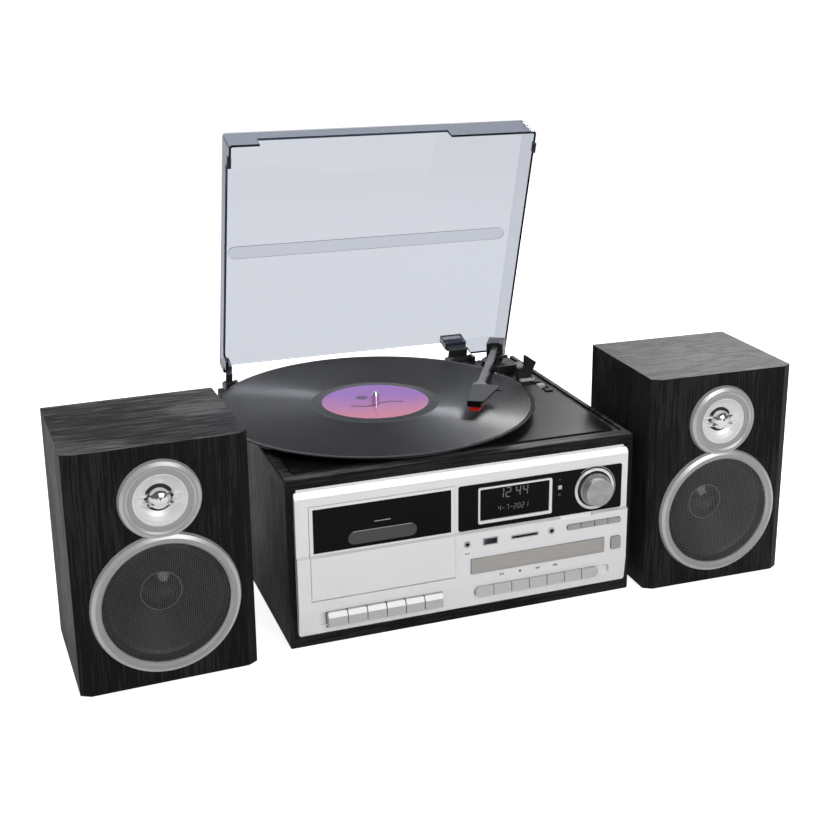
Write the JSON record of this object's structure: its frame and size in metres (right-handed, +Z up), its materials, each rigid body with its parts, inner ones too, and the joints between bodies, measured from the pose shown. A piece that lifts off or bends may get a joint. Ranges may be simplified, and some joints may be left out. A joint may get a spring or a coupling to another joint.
{
  "type": "stereo music centre",
  "caption": "Compact stereo music centre in black ash with open smoked lid, record deck, cassette deck, disc drawer, radio display and two bookshelf speakers",
  "frame": {"origin": "under the middle of the whole set at table level", "axes": "+X to the right as seen from the front, +Y to the back, +Z up"},
  "size_m": [0.6558, 0.3188, 0.4092],
  "materials": {
    "cabinet_wood": "black ash grain veneer, satin",
    "black_plastic": "moulded, fine texture",
    "deck_grey": "satin",
    "silver_plastic": "satin silver lacquer",
    "dark_window": "clear-coated, dark tinted",
    "grey_drawer": "warm grey lacquer",
    "key_grey": "satin silver-grey lacquer",
    "smoked_clear": "polished clear, smoky blue tint",
    "vinyl": "fine concentric grooves",
    "felt": "felt",
    "rubber_black": "dull",
    "bright_steel": "polished",
    "zinc_steel": "plain sheet",
    "cast_aluminium": "satin",
    "circuit_board": "solder-masked board",
    "red_plastic": "translucent red",
    "white_plastic": "moulded",
    "grille_wire": "woven wire, black lacquer",
    "cone_paper": "pressed pulp, dull",
    "brass_part": "turned"
  },
  "bodies": {
    "unit": {"cabinet": "cabinet_wood", "rear_panel": "black_plastic", "rubber_feet": "rubber_black", "deck_plate": "deck_grey", "fascia": "silver_plastic", "display_window": "dark_window", "electronics": "circuit_board", "cassette_mechanism": "black_plastic", "disc_mechanism": "black_plastic", "front_sockets": "zinc_steel", "spindle": "bright_steel", "turntable_motor": "zinc_steel", "drive_belt": "rubber_black", "tonearm_base": "black_plastic", "hinge_bases": "black_plastic", "speaker_cabinets": "cabinet_wood", "speaker_trims": "silver_plastic", "tweeters": "bright_steel", "woofer_grilles": "grille_wire", "woofers": "cone_paper"},
    "knob": {"volume_knob": "silver_plastic"},
    "tape_door": {"cassette_door": "silver_plastic", "cassette_pane": "dark_window"},
    "spool_l": {"spool_left": "white_plastic"},
    "spool_r": {"spool_right": "white_plastic"},
    "drawer": {"drawer_front": "grey_drawer", "disc_tray": "black_plastic"},
    "eject": {"eject_button": "key_grey"},
    "turntable": {"platter": "deck_grey", "slip_mat": "felt", "record": "vinyl"},
    "pulley": {"motor_pulley": "brass_part"},
    "yoke": {"tonearm_yoke": "black_plastic"},
    "arm": {"tonearm": "cast_aluminium", "headshell": "black_plastic", "stylus": "red_plastic"},
    "lift": {"cue_lift": "zinc_steel"},
    "lever": {"cue_lever": "black_plastic"},
    "clip": {"arm_clip": "white_plastic"},
    "speed": {"speed_switch": "black_plastic"},
    "autostop": {"autostop_switch": "white_plastic"},
    "lid_body": {"lid": "smoked_clear", "lid_fittings": "black_plastic"},
    "key_1": {"cassette_key_1": "key_grey"},
    "key_2": {"cassette_key_2": "key_grey"},
    "key_3": {"cassette_key_3": "key_grey"},
    "key_4": {"cassette_key_4": "key_grey"},
    "key_5": {"cassette_key_5": "key_grey"},
    "key_6": {"cassette_key_6": "key_grey"},
    "function_1": {"function_button_1": "key_grey"},
    "function_2": {"function_button_2": "key_grey"},
    "function_3": {"function_button_3": "key_grey"},
    "function_4": {"function_button_4": "key_grey"},
    "transport_1": {"transport_button_1": "silver_plastic"},
    "transport_2": {"transport_button_2": "silver_plastic"},
    "transport_3": {"transport_button_3": "silver_plastic"},
    "transport_4": {"transport_button_4": "silver_plastic"},
    "transport_5": {"transport_button_5": "silver_plastic"},
    "transport_6": {"transport_button_6": "silver_plastic"},
    "transport_7": {"transport_button_7": "silver_plastic"}
  },
  "joints": [
    {"name": "lid_hinge", "type": "hinge", "parent": "unit", "child": "lid_body", "pos_m": [0.00932, 0.13327, 0.1545], "axis": [1, 0, 0], "range_deg": [0, 73.6]},
    {"name": "platter_spin", "type": "hinge", "parent": "unit", "child": "turntable", "pos_m": [-0.02668, 0.00527, 0.154], "axis": [0, 0, 1], "continuous": true},
    {"name": "pulley_spin", "type": "hinge", "parent": "unit", "child": "pulley", "pos_m": [0.04286, 0.03058, 0.154], "axis": [0, 0, 1], "continuous": true},
    {"name": "tonearm_swing", "type": "hinge", "parent": "unit", "child": "yoke", "pos_m": [0.13832, 0.10527, 0.163], "axis": [0, 0, 1], "range_deg": [-13, 28]},
    {"name": "tonearm_lift", "type": "hinge", "parent": "yoke", "child": "arm", "pos_m": [0.13832, 0.10527, 0.173], "axis": [0.8721, -0.4894, 0], "range_deg": [-6, 0.3]},
    {"name": "cue_lever_turn", "type": "hinge", "parent": "unit", "child": "lever", "pos_m": [0.14432, 0.07527, 0.16], "axis": [-1, 0, 0], "range_deg": [0, 35]},
    {"name": "cue_lift_drop", "type": "slide", "parent": "unit", "child": "lift", "axis": [0, 0, -1], "range_m": [0, 0.002]},
    {"name": "arm_clip_turn", "type": "hinge", "parent": "unit", "child": "clip", "pos_m": [0.14737, 0.03328, 0.157], "axis": [0, 0, 1], "range_deg": [0, 60]},
    {"name": "volume_turn", "type": "hinge", "parent": "unit", "child": "knob", "pos_m": [0.12932, -0.13773, 0.1088], "axis": [0, 1, 0], "continuous": true},
    {"name": "cassette_door_tilt", "type": "hinge", "parent": "unit", "child": "tape_door", "pos_m": [-0.13268, -0.14343, 0.0473], "axis": [1, 0, 0], "range_deg": [0, 32]},
    {"name": "spool_l_spin", "type": "hinge", "parent": "unit", "child": "spool_l", "pos_m": [-0.08968, -0.12073, 0.0855], "axis": [0, 1, 0], "continuous": true},
    {"name": "spool_r_spin", "type": "hinge", "parent": "unit", "child": "spool_r", "pos_m": [-0.04718, -0.12073, 0.0855], "axis": [0, 1, 0], "continuous": true},
    {"name": "cassette_key_1_push", "type": "slide", "parent": "unit", "child": "key_1", "axis": [0, 1, 0], "range_m": [0, 0.004], "stiffness_N_per_m": 150},
    {"name": "cassette_key_2_push", "type": "slide", "parent": "unit", "child": "key_2", "axis": [0, 1, 0], "range_m": [0, 0.004], "stiffness_N_per_m": 150},
    {"name": "cassette_key_3_push", "type": "slide", "parent": "unit", "child": "key_3", "axis": [0, 1, 0], "range_m": [0, 0.004], "stiffness_N_per_m": 150},
    {"name": "cassette_key_4_push", "type": "slide", "parent": "unit", "child": "key_4", "axis": [0, 1, 0], "range_m": [0, 0.004], "stiffness_N_per_m": 150},
    {"name": "cassette_key_5_push", "type": "slide", "parent": "unit", "child": "key_5", "axis": [0, 1, 0], "range_m": [0, 0.004], "stiffness_N_per_m": 150},
    {"name": "cassette_key_6_push", "type": "slide", "parent": "unit", "child": "key_6", "axis": [0, 1, 0], "range_m": [0, 0.004], "stiffness_N_per_m": 150},
    {"name": "disc_drawer_slide", "type": "slide", "parent": "unit", "child": "drawer", "axis": [0, -1, 0], "range_m": [0, 0.13]},
    {"name": "eject_push", "type": "slide", "parent": "unit", "child": "eject", "axis": [0, 1, 0], "range_m": [0, 0.0012], "stiffness_N_per_m": 200},
    {"name": "function_1_push", "type": "slide", "parent": "unit", "child": "function_1", "axis": [0, 1, 0], "range_m": [0, 0.0012], "stiffness_N_per_m": 200},
    {"name": "function_2_push", "type": "slide", "parent": "unit", "child": "function_2", "axis": [0, 1, 0], "range_m": [0, 0.0012], "stiffness_N_per_m": 200},
    {"name": "function_3_push", "type": "slide", "parent": "unit", "child": "function_3", "axis": [0, 1, 0], "range_m": [0, 0.0012], "stiffness_N_per_m": 200},
    {"name": "function_4_push", "type": "slide", "parent": "unit", "child": "function_4", "axis": [0, 1, 0], "range_m": [0, 0.0012], "stiffness_N_per_m": 200},
    {"name": "transport_1_push", "type": "slide", "parent": "unit", "child": "transport_1", "axis": [0, 1, 0], "range_m": [0, 0.0012], "stiffness_N_per_m": 200},
    {"name": "transport_2_push", "type": "slide", "parent": "unit", "child": "transport_2", "axis": [0, 1, 0], "range_m": [0, 0.0012], "stiffness_N_per_m": 200},
    {"name": "transport_3_push", "type": "slide", "parent": "unit", "child": "transport_3", "axis": [0, 1, 0], "range_m": [0, 0.0012], "stiffness_N_per_m": 200},
    {"name": "transport_4_push", "type": "slide", "parent": "unit", "child": "transport_4", "axis": [0, 1, 0], "range_m": [0, 0.0012], "stiffness_N_per_m": 200},
    {"name": "transport_5_push", "type": "slide", "parent": "unit", "child": "transport_5", "axis": [0, 1, 0], "range_m": [0, 0.0012], "stiffness_N_per_m": 200},
    {"name": "transport_6_push", "type": "slide", "parent": "unit", "child": "transport_6", "axis": [0, 1, 0], "range_m": [0, 0.0012], "stiffness_N_per_m": 200},
    {"name": "transport_7_push", "type": "slide", "parent": "unit", "child": "transport_7", "axis": [0, 1, 0], "range_m": [0, 0.0012], "stiffness_N_per_m": 200},
    {"name": "speed_switch_slide", "type": "slide", "parent": "unit", "child": "speed", "axis": [0, 1, 0], "range_m": [0, 0.006]},
    {"name": "autostop_switch_slide", "type": "slide", "parent": "unit", "child": "autostop", "axis": [0, 1, 0], "range_m": [0, 0.005]}
  ],
  "couplings": [
    {"joint": "pulley_spin", "follows": "platter_spin", "ratio": 9.1509},
    {"joint": "cue_lever_turn", "follows": "cue_lift_drop", "rad_per_m": 305}
  ]
}
